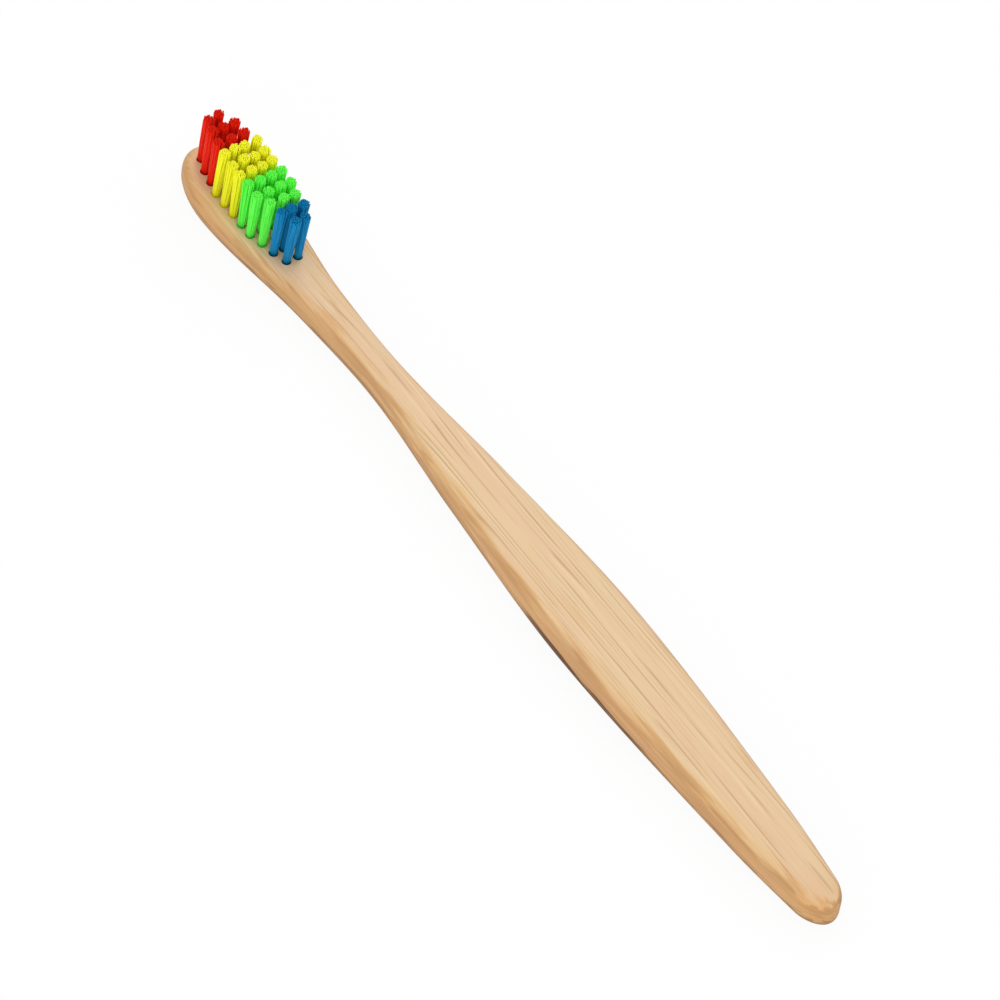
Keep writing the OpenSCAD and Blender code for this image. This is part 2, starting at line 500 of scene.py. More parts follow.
# %% [markdown]
# ## The tuft holes
#
# Each hole is drilled, and a flat brass anchor, a little wider than the hole, is
# driven into it with the folded bristles. So one cutter is made, a drill and the
# anchor's slit in one, then copied to the 36 places and taken away from the blank by
# a Boolean. Drilling hole by hole would be 36 Booleans instead of one.

# %% Make the cutter
HOLE_WIDTH = 1.7 * MM
HOLE_BOTTOM = 1.8 * MM
OVERRUN = 0.4 * MM
ANCHOR_SIZE = Vector((2.24, 0.29, 1.42)) * MM
ANCHOR_BOTTOM = 2.25 * MM
ANCHOR_TURN = math.radians(30)
HOLE_SIDES = 24

hole_height = HEAD_THICKNESS + OVERRUN - HOLE_BOTTOM
bpy.ops.mesh.primitive_cylinder_add(
    vertices=HOLE_SIDES, radius=HOLE_WIDTH / 2, depth=hole_height,
    location=(0, 0, HOLE_BOTTOM + hole_height / 2))
cutter = bpy.context.object
bpy.ops.mesh.primitive_cube_add(
    size=1, location=(0, 0, ANCHOR_BOTTOM + ANCHOR_SIZE.z / 2), rotation=(0, 0, ANCHOR_TURN))
slit = bpy.context.object
slit.scale = ANCHOR_SIZE
pick(slit, cutter)
bpy.ops.object.transform_apply(location=True, rotation=True, scale=True)
apply_modifier(cutter, "BOOLEAN", operation="UNION", solver="EXACT", object=slit)
print("cutter", [round(side / MM, 2) for side in cutter.dimensions], "mm")

# %% Drill the head
def copy_at(master, name, matrix):
    """A copy of a piece with a mesh of its own, moved by the matrix."""
    copy = master.copy()
    copy.data = master.data.copy()
    copy.name = copy.data.name = name
    copy.data.transform(matrix)
    bpy.context.scene.collection.objects.link(copy)
    return copy


drills = [copy_at(cutter, "drill", Matrix.Translation(place)) for place in tuft_places.values()]
pick(*drills)
bpy.ops.object.join()
apply_modifier(handle, "BOOLEAN", operation="DIFFERENCE", solver="EXACT", object=drills[0])
pick(drills[0], cutter)
bpy.ops.object.delete()
print("handle with holes:", len(handle.data.polygons), "faces,", open_edges(handle), "open edges")

# %% [markdown]
# ## Smooth shading
#
# Sanded bamboo has no facets. Smooth shading hides them, but at the rounded edges it
# would also tint the flat faces, because each corner's normal is a mean of its faces.
# Weighted normals let the large flat faces lead, which saves a ring of extra faces.

# %% Smooth the handle
SHARPEST_SMOOTH = math.radians(35)
pick(handle)
bpy.ops.object.shade_smooth_by_angle(angle=SHARPEST_SMOOTH)
apply_modifier(handle, "WEIGHTED_NORMAL", keep_sharp=True)
print("handle smoothed,", len(handle.data.vertices), "points")

# %% [markdown]
# ## Where the bamboo turns over its edge
#
# The flat faces of a bamboo strip show its fibres from the side, pale and even. Over
# the rounded edges the cutter slices through them, and the cut fibres look more golden.
# The rounded edges are also made darker there, partly as painted shade. The finish
# needs to know where that is. It could read the normal, but a value stored on the mesh
# stays put whatever the light does: 0 on the flat faces and 1 on the side wall.

# %% Store the turn
def turn_share(point):
    """How far the surface has turned over the rounded edge at a point."""
    drop = min(point.z, top_at(point.x) - point.z)
    return math.acos(1 - min(1, max(0, drop / EDGE_ROUND))) / (math.pi / 2)


turned = handle.data.attributes.new("turned", "FLOAT", "POINT")
turned.data.foreach_set("value", [turn_share(v.co) for v in handle.data.vertices])
print("turn stored on", len(turned.data), "points")

# %% [markdown]
# ## One nylon filament
#
# A bristle is a straight nylon filament about a fifth of a millimetre thick, cut and
# then rounded at its tip. It could be a curve with a thickness. A six-sided cylinder
# with smooth shading looks as round from this far away, and it stays light enough for
# nearly three thousand copies. A few cuts along it let it bow a little, as a folded
# filament does.

# %% Make the filament
FILAMENT_WIDTH = 0.22 * MM
FILAMENT_SIDES = 6
FILAMENT_CUTS = 3
FILAMENT_FOOT = 4.75 * MM
FILAMENT_BOW = 0.05 * MM
TIP_INSET = 0.035 * MM
TIP_HEIGHT = 0.05 * MM

bristle_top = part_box("red_tuft_1_1")[1].z
filament_length = bristle_top - TIP_HEIGHT - FILAMENT_FOOT
bpy.ops.object.select_all(action="DESELECT")
bpy.ops.mesh.primitive_cylinder_add(
    vertices=FILAMENT_SIDES, radius=FILAMENT_WIDTH / 2, depth=filament_length,
    location=(0, 0, FILAMENT_FOOT + filament_length / 2))
filament = bpy.context.object
filament.name = filament.data.name = "nylon_filament"
bpy.ops.object.transform_apply(location=True, rotation=True, scale=True)
bpy.ops.object.mode_set(mode="EDIT")
choose(filament, "EDGE", lambda e: abs(e.verts[0].co.z - e.verts[1].co.z) > TIP_HEIGHT)
bpy.ops.mesh.subdivide(number_cuts=FILAMENT_CUTS)
for cut in range(1, FILAMENT_CUTS + 1):
    share = cut / (FILAMENT_CUTS + 1)
    height = FILAMENT_FOOT + filament_length * share
    choose(filament, "VERT", lambda v: abs(v.co.z - height) < TIP_HEIGHT)
    bpy.ops.transform.translate(value=(FILAMENT_BOW * math.sin(math.pi * share), 0, 0))
choose(filament, "FACE", lambda f: facing(f, 1))
bpy.ops.mesh.inset(thickness=TIP_INSET)
bpy.ops.transform.translate(value=(0, 0, TIP_HEIGHT))
bpy.ops.object.mode_set(mode="OBJECT")
bpy.ops.object.shade_smooth()
print("filament", round(filament.dimensions.z / MM, 2), "mm long,",
      len(filament.data.polygons), "faces,", open_edges(filament), "open edges")

# %% [markdown]
# ## A bundle of filaments
#
# A tuft is as many filaments as the hole takes, so they stand packed like a
# honeycomb. They could be scattered by a particle system. A honeycomb grid packs them
# at once. A real hole presses them tight together. Here the grid is finer than a
# filament is thick, so they overlap at the foot and nearly part at the top. From the
# foot each copy leans out, more at the rim, and is turned its own way so that the bows
# don't line up. The tops are trimmed to a low crown and are never quite even.

# %% Bundle the filaments
BUNDLE_RADIUS = 0.6 * MM
FILAMENT_PITCH = 0.13 * MM
GRID_REACH = 8
GRID_SHIFT = Vector((0.3, 0.2, 0)) * FILAMENT_PITCH
RIM_LEAN = math.radians(1.85)
STRAY_LEAN = math.radians(0.4)
STRAY_LENGTH = 0.15 * MM
CROWN_HEIGHT = 0.35 * MM
chance = random.Random(11)


def honeycomb(radius, pitch):
    """Places of a honeycomb grid inside a circle."""
    steps = range(-GRID_REACH, GRID_REACH + 1)
    places = [Vector(((i + j / 2) * pitch, j * pitch * math.sqrt(3) / 2, 0)) + GRID_SHIFT
              for i in steps for j in steps]
    return [place for place in places if place.length <= radius]


def leaning(lean_x, lean_y, height):
    """A lean towards x and y, in radians, about a point at a height."""
    pivot = Matrix.Translation((0, 0, height))
    tilt = Matrix.Rotation(math.hypot(lean_x, lean_y), 4, Vector((-lean_y, lean_x, 0)))
    return pivot @ tilt @ pivot.inverted()


def filament_matrix(place):
    """Where a filament stands in the bundle, with its own turn, lean and length."""
    lean = [place[i] / BUNDLE_RADIUS * RIM_LEAN + chance.gauss(0, 1) * STRAY_LEAN for i in (0, 1)]
    crown = (place.length / BUNDLE_RADIUS) ** 2 * CROWN_HEIGHT
    shorter = Matrix.Translation((0, 0, -chance.random() * STRAY_LENGTH - crown))
    turn = Matrix.Rotation(chance.random() * math.tau, 4, "Z")
    return Matrix.Translation(place) @ leaning(*lean, HEAD_THICKNESS) @ turn @ shorter


filaments = [copy_at(filament, "filament", filament_matrix(place))
             for place in honeycomb(BUNDLE_RADIUS, FILAMENT_PITCH)]
filament_count = len(filaments)
pick(*filaments)
bpy.ops.object.join()
bundle = filaments[0]
print(filament_count, "filaments in a bundle,", len(bundle.data.polygons), "faces")

# %% [markdown]
# ## The root of a tuft
#
# In its hole the bundle is folded in half round the anchor and squeezed into one
# plug. Each filament's fold could be drawn, but nothing of it ever shows. So the root
# is one short plug with a rounded bottom, where the fold is, and a slot for the
# anchor.

# %% Make the root
ROOT_WIDTH = 1.64 * MM
ROOT_TOP = 4.9 * MM
ROOT_SIDES = 20
FOLD_ROUND = 0.3 * MM
FOLD_STEPS = 3

bpy.ops.object.select_all(action="DESELECT")
bpy.ops.mesh.primitive_cylinder_add(
    vertices=ROOT_SIDES, radius=ROOT_WIDTH / 2, depth=ROOT_TOP - HOLE_BOTTOM,
    location=(0, 0, (ROOT_TOP + HOLE_BOTTOM) / 2))
root = bpy.context.object
bpy.ops.object.transform_apply(location=True, rotation=True, scale=True)
bpy.ops.object.mode_set(mode="EDIT")
choose(root, "EDGE", lambda e: all(v.co.z < HOLE_BOTTOM + FOLD_ROUND for v in e.verts))
bpy.ops.mesh.bevel(offset=FOLD_ROUND, segments=FOLD_STEPS, affect="EDGES")
bpy.ops.object.mode_set(mode="OBJECT")
apply_modifier(root, "BOOLEAN", operation="DIFFERENCE", solver="EXACT", object=slit)
bpy.ops.object.shade_smooth_by_angle(angle=SHARPEST_SMOOTH)
print("root", len(root.data.polygons), "faces,", open_edges(root), "open edges")

# %% [markdown]
# ## The 36 tufts
#
# Every tuft is the same bundle on the same root, so both are copied. Seen side by
# side, exact copies give themselves away, so each bundle is turned, leans its own
# small way and stands a hair higher or lower, as trimmed bristles do. All of them
# also lean a little towards the neck and the near side. The root keeps its direction,
# because its slot has to meet the anchor.

# %% Plant the tufts
TUFT_SWEEP = Vector((math.radians(1.4), math.radians(-0.7)))
TUFT_LEAN = math.radians(0.7)
TUFT_SPREAD = 0.5 * MM
tuft_chance = random.Random(738)


def plant(name, place):
    """One tuft at its place on the head."""
    lean_x, lean_y = (sweep + tuft_chance.gauss(0, 1) * TUFT_LEAN for sweep in TUFT_SWEEP)
    turn = Matrix.Rotation(tuft_chance.random() * math.tau, 4, "Z")
    lower = Matrix.Translation((0, 0, (tuft_chance.random() - 1) * TUFT_SPREAD))
    there = Matrix.Translation(place)
    stance = there @ leaning(lean_x, lean_y, HEAD_THICKNESS) @ lower @ turn
    bristles = copy_at(bundle, name.replace("tuft", "bristles"), stance)
    plug = copy_at(root, "plug", there)
    pick(bristles, plug)
    bpy.ops.object.join()
    return bristles


tufts = {name: plant(name, place) for name, place in tuft_places.items()}
for spare in (filament, bundle, root, slit):
    bpy.data.objects.remove(spare)
tuft_faces = sum(len(tuft.data.polygons) for tuft in tufts.values())
print(len(tufts), "tufts,", tuft_faces, "faces in all")

# %% [markdown]
# ## Long fibres
#
# Bamboo, drawn nylon and rolled brass all have a grain that runs one way. One group of
# nodes makes it for all of them: a noise that is stretched along one direction. It
# could be a Wave texture, but its lines are too even. The group puts out one soft tone
# from 0 to 1, and its size and shift differ from use to use.

# %% Make the fibre group
TONE_LOW, TONE_HIGH = 0.3, 0.7
FIBRE_NOISE = {"Scale": 1, "Detail": 2, "Roughness": 0.45}


def start_group(name, inputs, outputs):
    """An empty node group, the sockets that bring its inputs and the ones that take its results."""
    group = bpy.data.node_groups.new(name, "ShaderNodeTree")
    for label, kind in inputs.items():
        group.interface.new_socket(label, in_out="INPUT", socket_type="NodeSocket" + kind)
    for label, kind in outputs.items():
        group.interface.new_socket(label, in_out="OUTPUT", socket_type="NodeSocket" + kind)
    given = group.nodes.new("NodeGroupInput").outputs
    result = group.nodes.new("NodeGroupOutput").inputs
    return group, given, result


def ramp(tree, value, start, stop, low=0, high=1):
    """A smooth step of a value, from low to high."""
    return add_node(tree, "MapRange", {
        "Value": value, "From Min": start, "From Max": stop, "To Min": low, "To Max": high,
    }, interpolation_type="SMOOTHSTEP").outputs[0]


long_fibres, given, result = start_group(
    "long_fibres", {"Place": "Vector", "Fibre Size": "Vector", "Shift": "Vector"}, {"Tone": "Float"})
stretched = add_node(
    long_fibres, "VectorMath", {0: given["Place"], 1: given["Fibre Size"]}, operation="DIVIDE")
moved = add_node(
    long_fibres, "VectorMath", {0: stretched.outputs[0], 1: given["Shift"]}, operation="ADD")
noise = add_node(long_fibres, "TexNoise", {"Vector": moved.outputs[0], **FIBRE_NOISE})
put_value(long_fibres, result["Tone"], ramp(long_fibres, noise.outputs[0], TONE_LOW, TONE_HIGH))
print("group", long_fibres.name, "has", len(long_fibres.nodes), "nodes")

# %% [markdown]
# ## Helpers for colours
#
# Blender mixes light, so it wants a colour in amounts of light, while a paint program
# writes it from 0 to 255 on the curve that screens use. The helper linear() turns one
# into the other. Colours are then layered as a painter would: laid over each other by
# a share, or multiplied in as a stain, which lets the grain show.

# %% Helpers for colours
def linear(red, green, blue):
    """A colour as a paint program names it, from 0 to 255, in the values that Blender wants."""
    def one(value):
        share = value / 255
        return share / 12.92 if share <= 0.04045 else ((share + 0.055) / 1.055) ** 2.4
    return one(red), one(green), one(blue), 1


def mix_colours(tree, share, first, second, how="MIX"):
    """Two colours mixed by a share."""
    mix = add_node(tree, "Mix", {0: share, 6: first, 7: second}, data_type="RGBA", blend_type=how)
    return mix.outputs[2]


def stain(tree, share, base, tint):
    """A colour with a tint multiplied in by a share."""
    return mix_colours(tree, share, base, tint, "MULTIPLY")


# %% [markdown]
# ## Helpers for finishes
#
# Every material of the brush starts and ends alike: an empty tree that knows its place
# on the object, the fibre group with a size of its own, and one Principled surface at
# the end. The place is read in Object coordinates, in metres, so a fibre has its real
# size. Generated coordinates would stretch it with the piece.

# %% Helpers for finishes
def start_finish(name):
    """An empty material, its tree and the place on the object in metres."""
    material = bpy.data.materials.new(name)
    material.use_nodes = True
    tree = material.node_tree
    tree.nodes.clear()
    place = add_node(tree, "TexCoord").outputs["Object"]
    return material, tree, place


def from_group(tree, group, inputs):
    """The results of a node group, with its inputs by name."""
    node = add_node(tree, "Group", node_tree=group)
    for label, value in inputs.items():
        put_value(tree, node.inputs[label], value)
    return node.outputs


def fibre_tone(tree, place, size, shift):
    """The fibre group's tone, for fibres of a size along x, y and z in metres."""
    inputs = {"Place": place, "Fibre Size": size, "Shift": (shift, shift, shift)}
    return from_group(tree, long_fibres, inputs)["Tone"]


def spread(tree, tone, low, high):
    """A tone from 0 to 1, stretched evenly from low to high."""
    inputs = {"Value": tone, "To Min": low, "To Max": high}
    return add_node(tree, "MapRange", inputs).outputs[0]


def finish_with(tree, sockets):
    """A Principled surface with its sockets by name, as the material's result."""
    surface = add_node(tree, "BsdfPrincipled", sockets)
    add_node(tree, "OutputMaterial", {"Surface": surface.outputs[0]})


def dress(piece, material):
    """Gives a piece one material and no other."""
    piece.data.materials.clear()
    piece.data.materials.append(material)


# %% [markdown]
# ## Bamboo
#
# The handle is unpainted bamboo, finely sanded, with a thin matt wax. It is a pale
# cream with faint blush patches. A picture of wood could be wrapped round it, but its
# lines would end at a seam. Here the grain is worked out in space, so it runs through
# the piece: it lies in long lines on the flat faces and shows its cut ends at the nose.
# The colour starts with the broadest fibres. The finer ones are for the cells that
# follow.

# %% Spread the fibres
CREAM = linear(230, 199, 157)
BLUSH = linear(229, 194, 156)

bamboo, tree, place = start_finish("bare_bamboo")
x, y, z = add_node(tree, "SeparateXYZ", {0: place}).outputs
turn = add_node(tree, "Attribute", attribute_name="turned").outputs["Fac"]


def bamboo_fibres(length, thickness, shift):
    """The tone of round fibres that run along the brush."""
    return fibre_tone(tree, place, (length, thickness, thickness), shift)


broad = bamboo_fibres(length=70 * MM, thickness=3.5 * MM, shift=3)
patches = bamboo_fibres(length=26 * MM, thickness=2.5 * MM, shift=17)
fine = bamboo_fibres(length=12 * MM, thickness=0.17 * MM, shift=9)
flames = bamboo_fibres(length=14 * MM, thickness=0.9 * MM, shift=29)
bare = mix_colours(tree, broad, CREAM, BLUSH)
print("bamboo starts with", len(tree.nodes), "nodes")

# %% [markdown]
# ## Places along the brush
#
# Much of what follows belongs to one stretch of the brush, such as the neck or the
# grip. Vertex groups could hold such places. A mask worked out from the distance along
# the brush has no steps in it, whatever the mesh, and two pairs of numbers say it all:
# where the mask rises and where it falls.

# %% Mark the stretches
NEAR_SIDE = 1 * MM, -2.5 * MM


def along_brush(rise, fall):
    """A mask that rises and falls between two places each, in mm from the middle."""
    rising = ramp(tree, x, rise[0] * MM, rise[1] * MM)
    falling = ramp(tree, x, fall[1] * MM, fall[0] * MM)
    return times(tree, rising, falling)


shoulder_stretch = along_brush(rise=(-74, -62), fall=(-52, -44))
neck_stretch = along_brush(rise=(-46, -36), fall=(4, 14))
grip_stretch = along_brush(rise=(-30, -14), fall=(42, 62))
# The painted shade low on the near side of the grip is strongest along this stretch.
low_shade_stretch = along_brush(rise=(8, 26), fall=(40, 60))
near_side = ramp(tree, y, *NEAR_SIDE)
print("stretches marked,", len(tree.nodes), "nodes")

# %% [markdown]
# ## Growth lines
#
# Cane fibres show on the flat faces as thin darker lines, a millimetre or so apart,
# with a thread of pale pith beside the strong ones. They wander, fade in and out and
# are strongest along the grip. A Wave texture draws lines too, but evenly. Here a
# Pingpong folds the place across the brush back and forth, which gives the lines, and
# fibre tones make them wander and fade.

# %% Draw the growth lines
HALF_PITCH = 0.5
LINE_WANDER = 1.3
LINE_LENGTH = 22 * MM
LINE_FADE = 0.5, 1.05
GRIP_GAIN = 0.25
FINE_LINES = 0.45
FLAT_TURN = 0.7, 0.3
FLAT_STRENGTH = 0.75

wander = times(tree, bamboo_fibres(length=80 * MM, thickness=6 * MM, shift=41), LINE_WANDER)


def growth_lines(pitch, width, shift, aside=0):
    """Thin lines a pitch apart, moved aside by a share of it, which wander and fade in and out."""
    across = calculate(tree, "MULTIPLY_ADD", y, 1 / pitch, aside)
    folded = calculate(tree, "PINGPONG", calculate(tree, "ADD", wander, across), HALF_PITCH)
    line = ramp(tree, folded, HALF_PITCH - width / pitch, HALF_PITCH)
    strength = bamboo_fibres(LINE_LENGTH, pitch, shift)
    grown = calculate(tree, "MULTIPLY_ADD", grip_stretch, GRIP_GAIN, strength)
    return times(tree, line, ramp(tree, grown, *LINE_FADE))


strong_lines = growth_lines(pitch=1.25 * MM, width=0.24 * MM, shift=53)
weak_lines = times(tree, growth_lines(pitch=0.7 * MM, width=0.16 * MM, shift=71), FINE_LINES)
pith_lines = growth_lines(pitch=1.25 * MM, width=0.3 * MM, shift=53, aside=0.3)
flat_share = ramp(tree, turn, *FLAT_TURN, 0, FLAT_STRENGTH)
flat_lines = times(tree, calculate(tree, "MAXIMUM", strong_lines, weak_lines), flat_share)
print("growth lines drawn,", len(tree.nodes), "nodes")

# %% [markdown]
# ## Streaks on the side walls
#
# The side walls cut through the fibres at a slant, so they show broad soft streaks
# instead of lines, which nearly vanish round the nose. The same line colour serves
# both, so the two are joined into one share by their maximum. Adding them up instead
# would darken the border where they meet. The finest fibres then vary the colour by a
# hair all over.

# %% Add the streaks
FIBRE_LINE = linear(188, 150, 107)
PITH = linear(237, 208, 167)
STREAK_SIZE = (24 * MM, 3 * MM, 0.8 * MM)
STREAK_SHIFT = 5
STREAK_TURN = 0.2, 0.7
STREAK_STRENGTH = 0.5
NOSE_LINES = -94 * MM, -82 * MM
NOSE_CALM = 0.3
FINE_TONES = 0.97, 1.01

streaks = fibre_tone(tree, place, STREAK_SIZE, STREAK_SHIFT)
side_lines = times(tree, streaks, ramp(tree, turn, *STREAK_TURN, 0, STREAK_STRENGTH))
calm_lines = times(tree, side_lines, ramp(tree, x, *NOSE_LINES, NOSE_CALM, 1))
line_share = calculate(tree, "MAXIMUM", flat_lines, calm_lines)
pithy = mix_colours(tree, times(tree, pith_lines, flat_share), bare, PITH)
lined = mix_colours(tree, line_share, pithy, FIBRE_LINE)
grained = stain(tree, 1, lined, spread(tree, fine, *FINE_TONES))
print("side walls streaked,", len(tree.nodes), "nodes")

# %% [markdown]
# ## Where the gold begins
#
# The cut fibres of the rounded edges are golden. How far the edge has turned would
# give the border of that gold, but ruler straight. On real bamboo the fibres are cut
# at different depths and the border has the shape of flames. So the flames' tone
# pushes it back and forth, less so round the nose. The gold also reaches a little
# further on the near side and at the shoulder of the head, and less far at the neck.

# %% Shape the golden border
MIDDLE_TONE = 0.5
FLAME_REACH = 0.6
NEAR_REACH = 0.1
SHOULDER_REACH = 0.15
NECK_REACH = -0.2
NOSE_FLAMES = -92 * MM, -80 * MM

both_ways = calculate(tree, "SUBTRACT", flames, MIDDLE_TONE)
wave = times(tree, both_ways, ramp(tree, x, *NOSE_FLAMES, NOSE_CALM, 1))
pushes = ((wave, FLAME_REACH), (near_side, NEAR_REACH), (neck_stretch, NECK_REACH),
          (shoulder_stretch, SHOULDER_REACH))
wavy_turn = turn
for push, reach in pushes:
    wavy_turn = calculate(tree, "MULTIPLY_ADD", push, reach, wavy_turn)
print("golden border shaped,", len(tree.nodes), "nodes")

# %% [markdown]
# ## Gold, honey and flames
#
# The gold is a stain, so the fibres still show in it. It is partly the colour of the cut
# fibres and partly painted shade, which darkens the rounded edges. A trace of honey
# leads up to it, mostly on the near side, and flame-shaped patches of orange lie inside
# it where the cut runs along a fibre. All three could be bands of one Color Ramp. As
# stains and shares of their own, each can have its own place and strength.

# %% Turn the edges golden
HONEY = linear(253, 246, 231)
# The gold is the cut fibres' tint and, in part, painted shade that darkens the rounded edges.
GOLD_AND_EDGE_SHADE = linear(232, 212, 184)
FLAME = linear(222, 176, 122)
HONEY_TURN = 0, 0.3
HONEY_TOP = {"start": 0, "stop": 0.15, "low": 0.35, "high": 1}
HONEY_NEAR = {"start": 0, "stop": 1, "low": 0.3, "high": 1}
GOLD_TURN = 0.28, 0.7
FLAME_RISE = 0.36, 0.56
FLAME_FALL = 0.9, 0.6

honey_place = times(tree, ramp(tree, turn, **HONEY_TOP), ramp(tree, near_side, **HONEY_NEAR))
honey_share = times(tree, ramp(tree, wavy_turn, *HONEY_TURN), honey_place)
honeyed = mix_colours(tree, honey_share, WHITE, HONEY)
edge_tint = mix_colours(tree, ramp(tree, wavy_turn, *GOLD_TURN), honeyed, GOLD_AND_EDGE_SHADE)
golden = stain(tree, 1, grained, edge_tint)
flame_band = times(tree, ramp(tree, wavy_turn, *FLAME_RISE), ramp(tree, wavy_turn, *FLAME_FALL))
flamed = mix_colours(tree, times(tree, flame_band, patches), golden, FLAME)
print("edges golden,", len(tree.nodes), "nodes")

# %% [markdown]
# ## Darker ends, and painted shade on the low and far edges
#
# Three stains finish the colour. The tip of the head and the end are a trace darker.
# The lower rounded edge is darker all round, a painted shade where the handle meets the
# floor, and most of all low on the near side of the grip, with a ragged upper border.
# The far rounded edge is a little greyer, also a painted shade. They could be painted on
# the mesh by hand, but masks of the place need no picture and stay sharp close up.

# %% Stain the bamboo
# The tip of the head and the end are made a trace darker.
DARKER_ENDS = linear(252, 248, 242)
DARKER_TIP_SPAN = -72 * MM, -84 * MM
DARKER_END_SPAN = 84 * MM, 93 * MM
# This colour darkens the lower rounded edge all round as painted shade where the handle meets the
# floor, most of all low on the near side of the grip.
LOW_EDGE_SHADE = linear(128, 104, 74)
LOW_SHADE_SIDE = 0, -3 * MM
LOW_SHADE_HEIGHT = 2.2 * MM, 1.5 * MM
LOW_SHADE_RAGGED = 1.1 * MM
LOW_SHADE_SINK = -0.8 * MM
LOW_SHADE_LIFT = -0.5 * MM
LOW_SHADE_TURN = 0.3, 0.55
LOW_SHADE_FAINT = 0.5
# This grey darkens the far rounded edge as painted shade.
FAR_EDGE_SHADE = linear(222, 214, 204)
FAR_SHADE_SIDE = 0.5 * MM, 2.5 * MM
FAR_SHADE_TURN = 0.4, 0.62

darker_ends_share = calculate(tree, "MAXIMUM", ramp(tree, x, *DARKER_TIP_SPAN), ramp(tree, x, *DARKER_END_SPAN))
with_darker_ends = stain(tree, darker_ends_share, flamed, DARKER_ENDS)
low_shade_side = times(tree, low_shade_stretch, ramp(tree, y, *LOW_SHADE_SIDE))
low_shade_wave = calculate(tree, "MULTIPLY_ADD", flames, LOW_SHADE_RAGGED, LOW_SHADE_SINK)
ragged = calculate(tree, "MULTIPLY_ADD", low_shade_side, LOW_SHADE_LIFT, calculate(tree, "ADD", z, low_shade_wave))
low_shade_band = times(tree, ramp(tree, ragged, *LOW_SHADE_HEIGHT), ramp(tree, turn, *LOW_SHADE_TURN))
low_shade_share = times(tree, low_shade_band, ramp(tree, low_shade_side, 0, 1, LOW_SHADE_FAINT, 1))
low_shaded = stain(tree, low_shade_share, with_darker_ends, LOW_EDGE_SHADE)
# Painted shade on the far rounded edge, multiplied in.
far_shade_share = times(tree, ramp(tree, y, *FAR_SHADE_SIDE), ramp(tree, turn, *FAR_SHADE_TURN))
far_shaded = stain(tree, far_shade_share, low_shaded, FAR_EDGE_SHADE)
print("bamboo stained,", len(tree.nodes), "nodes")

# %% [markdown]
# ## The sanded surface
#
# Sanded bamboo is matt. Its finest fibres stand up by hundredths of a millimetre and
# its growth lines lie a little deeper. That relief could be modelled with a displaced
# mesh of millions of faces. A Bump node only tilts the light on the surface, which is
# enough at this depth.

# %% Finish the handle
BAMBOO_ROUGHNESS = 0.5, 0.62
BAMBOO_SHINE = 0.3
RELIEF_DEPTH = 0.03 * MM
RELIEF_STRENGTH = 0.2

relief = calculate(tree, "SUBTRACT", fine, line_share)
bump = add_node(tree, "Bump", {
    "Height": relief, "Strength": RELIEF_STRENGTH, "Distance": RELIEF_DEPTH})
finish_with(tree, {
    "Base Color": far_shaded, "Roughness": spread(tree, fine, *BAMBOO_ROUGHNESS),
    "Specular IOR Level": BAMBOO_SHINE, "Normal": bump.outputs[0]})
dress(handle, bamboo)
print("bamboo has", len(tree.nodes), "nodes")

# %% [markdown]
# ## Coloured nylon
#
# The filaments are dyed through: red at the tip of the head, then yellow, green and
# blue. A tuft isn't one even colour. Its foot is darker, a painted shade where the tuft
# meets the head, its sides carry painted shade low down that fades towards the top,
# its upward-facing cut tips have a colour of their own, a painted highlight on yellow
# and darker on red and blue, and every filament differs a trace. A gradient from foot
# to top would be enough from far away. Here the tips are found by the way their faces
# look, upwards, so that they keep their colour at any length. All four colours share
# that and the painted shade, so one group works them out and each material brings its
# own dye.

# %% Make the tuft group
# The foot of each tuft and the low part of its sides are darkened as painted shade.
FOOT_SHADE_END = 5.8 * MM
SIDE_SHADE_END = 13 * MM
TIP_SLOPE = 0.2, 0.6

tuft_tone, given, result = start_group(
    "tuft_tone", {"Place": "Vector", "Foot Shade": "Float", "Side Shade": "Float"},
    {"Tone": "Float", "Tip": "Float"})
height = add_node(tuft_tone, "SeparateXYZ", {0: given["Place"]}).outputs["Z"]
foot = ramp(tuft_tone, height, HEAD_THICKNESS, FOOT_SHADE_END, given["Foot Shade"], 1)
# Painted shade low on the tuft's sides, fading out towards the top.
side = ramp(tuft_tone, height, HEAD_THICKNESS, SIDE_SHADE_END, given["Side Shade"], 1)
put_value(tuft_tone, result["Tone"], times(tuft_tone, foot, side))
# Faces that look up are the cut tips; their colour is a painted highlight on yellow, and darker on red
# and blue.
facing_way = add_node(tuft_tone, "NewGeometry").outputs["True Normal"]
upward = add_node(tuft_tone, "SeparateXYZ", {0: facing_way}).outputs["Z"]
put_value(tuft_tone, result["Tip"], ramp(tuft_tone, upward, *TIP_SLOPE))
print("group", tuft_tone.name, "has", len(tuft_tone.nodes), "nodes")

# %% Dye the bristles
STRAND_SIZE = (0.2 * MM, 0.2 * MM, 12 * MM)
STRAND_SHIFT = 7
STRAND_ROUGHNESS = 0.5, 0.35
NYLON_SHINE = 0.1
# The foot and side numbers darken the foot and the low sides as painted shade; the tip colour is a
# painted highlight on yellow.
DYES = {
    "red": {"pale": (240, 38, 3), "deep": (228, 26, 3), "tip": (226, 30, 6),
            "foot_shade": 0.7, "side_shade": 0.93},
    "yellow": {"pale": (252, 252, 43), "deep": (246, 243, 30), "tip": (255, 255, 60),
               "foot_shade": 0.85, "side_shade": 0.85},
    "green": {"pale": (114, 255, 92), "deep": (90, 253, 72), "tip": (112, 255, 90),
              "foot_shade": 0.65, "side_shade": 0.93},
    "blue": {"pale": (18, 140, 194), "deep": (10, 126, 182), "tip": (10, 126, 176),
             "foot_shade": 0.38, "side_shade": 0.92},
}


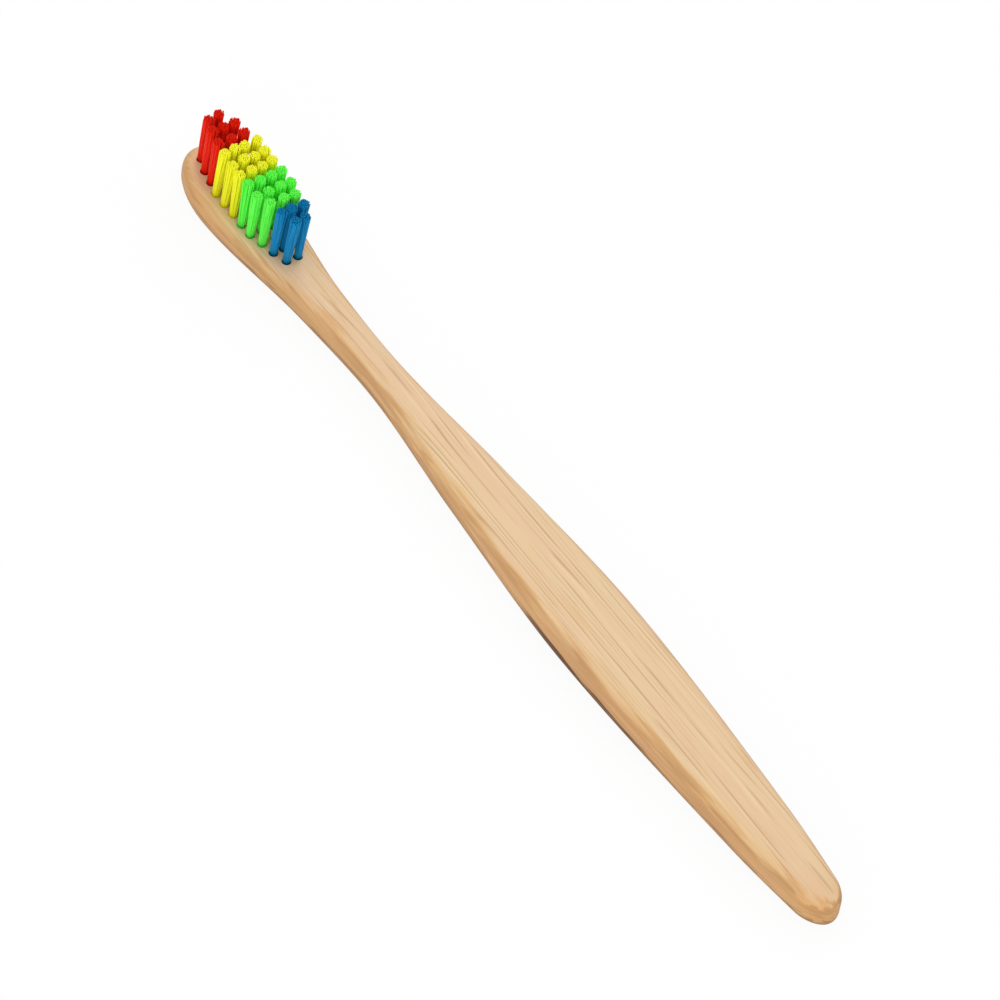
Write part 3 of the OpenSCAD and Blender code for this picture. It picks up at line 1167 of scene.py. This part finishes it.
def dye(name, pale, deep, tip, foot_shade, side_shade):
    """A nylon finish between two shades of a colour, with its own colour at the cut tips and painted
    shade at the foot and low on the sides.
    """
    material, tree, place = start_finish(name)
    strand = fibre_tone(tree, place, STRAND_SIZE, STRAND_SHIFT)
    shade = mix_colours(tree, strand, linear(*deep), linear(*pale))
    tone = from_group(tree, tuft_tone, {"Place": place, "Foot Shade": foot_shade, "Side Shade": side_shade})
    tipped = mix_colours(tree, tone["Tip"], shade, linear(*tip))
    finish_with(tree, {
        "Base Color": stain(tree, 1, tipped, tone["Tone"]),
        "Roughness": spread(tree, strand, *STRAND_ROUGHNESS),
        "Specular IOR Level": NYLON_SHINE})
    return material


nylons = {colour: dye(colour + "_nylon", **plan) for colour, plan in DYES.items()}
for name, tuft in tufts.items():
    dress(tuft, nylons[name.split("_")[0]])
print("dyed", len(tufts), "tufts in", len(nylons), "colours")

# %% [markdown]
# ## Brass anchors
#
# The anchors are snipped from brass wire that was drawn and then rolled flat. They sit
# deep in the head and only a cut through it would show them. They could be modelled
# again from a cube. Their CAD shapes are exact, so they stay and only get a finish: a
# metal with the faint scratches of the rolls.

# %% Finish the anchors
BRASS = linear(214, 178, 104)
WORN_BRASS = linear(190, 150, 82)
SCRATCH_SIZE = (1.5 * MM, 0.05 * MM, 0.05 * MM)
SCRATCH_SHIFT = 13
BRASS_ROUGHNESS = 0.25, 0.4

brass, tree, place = start_finish("rolled_brass")
scratches = fibre_tone(tree, place, SCRATCH_SIZE, SCRATCH_SHIFT)
finish_with(tree, {
    "Base Color": mix_colours(tree, scratches, BRASS, WORN_BRASS),
    "Metallic": 1,
    "Roughness": spread(tree, scratches, *BRASS_ROUGHNESS)})
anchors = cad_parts["tuft_anchors"]
for slot in anchors.material_slots:
    slot.material = brass
print("brass on", len(anchors.material_slots), "slot of", anchors.name)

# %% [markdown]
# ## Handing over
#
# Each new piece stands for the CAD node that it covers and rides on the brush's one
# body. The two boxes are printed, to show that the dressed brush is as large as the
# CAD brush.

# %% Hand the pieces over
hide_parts("handle")
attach(handle, "root")
for name, tuft in tufts.items():
    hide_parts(name)
    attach(tuft, "root")
visual_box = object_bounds()
for label, box in (("CAD", cad_box), ("visual", visual_box)):
    print(label, "box in mm:", [[round(side / MM, 2) for side in corner] for corner in box])
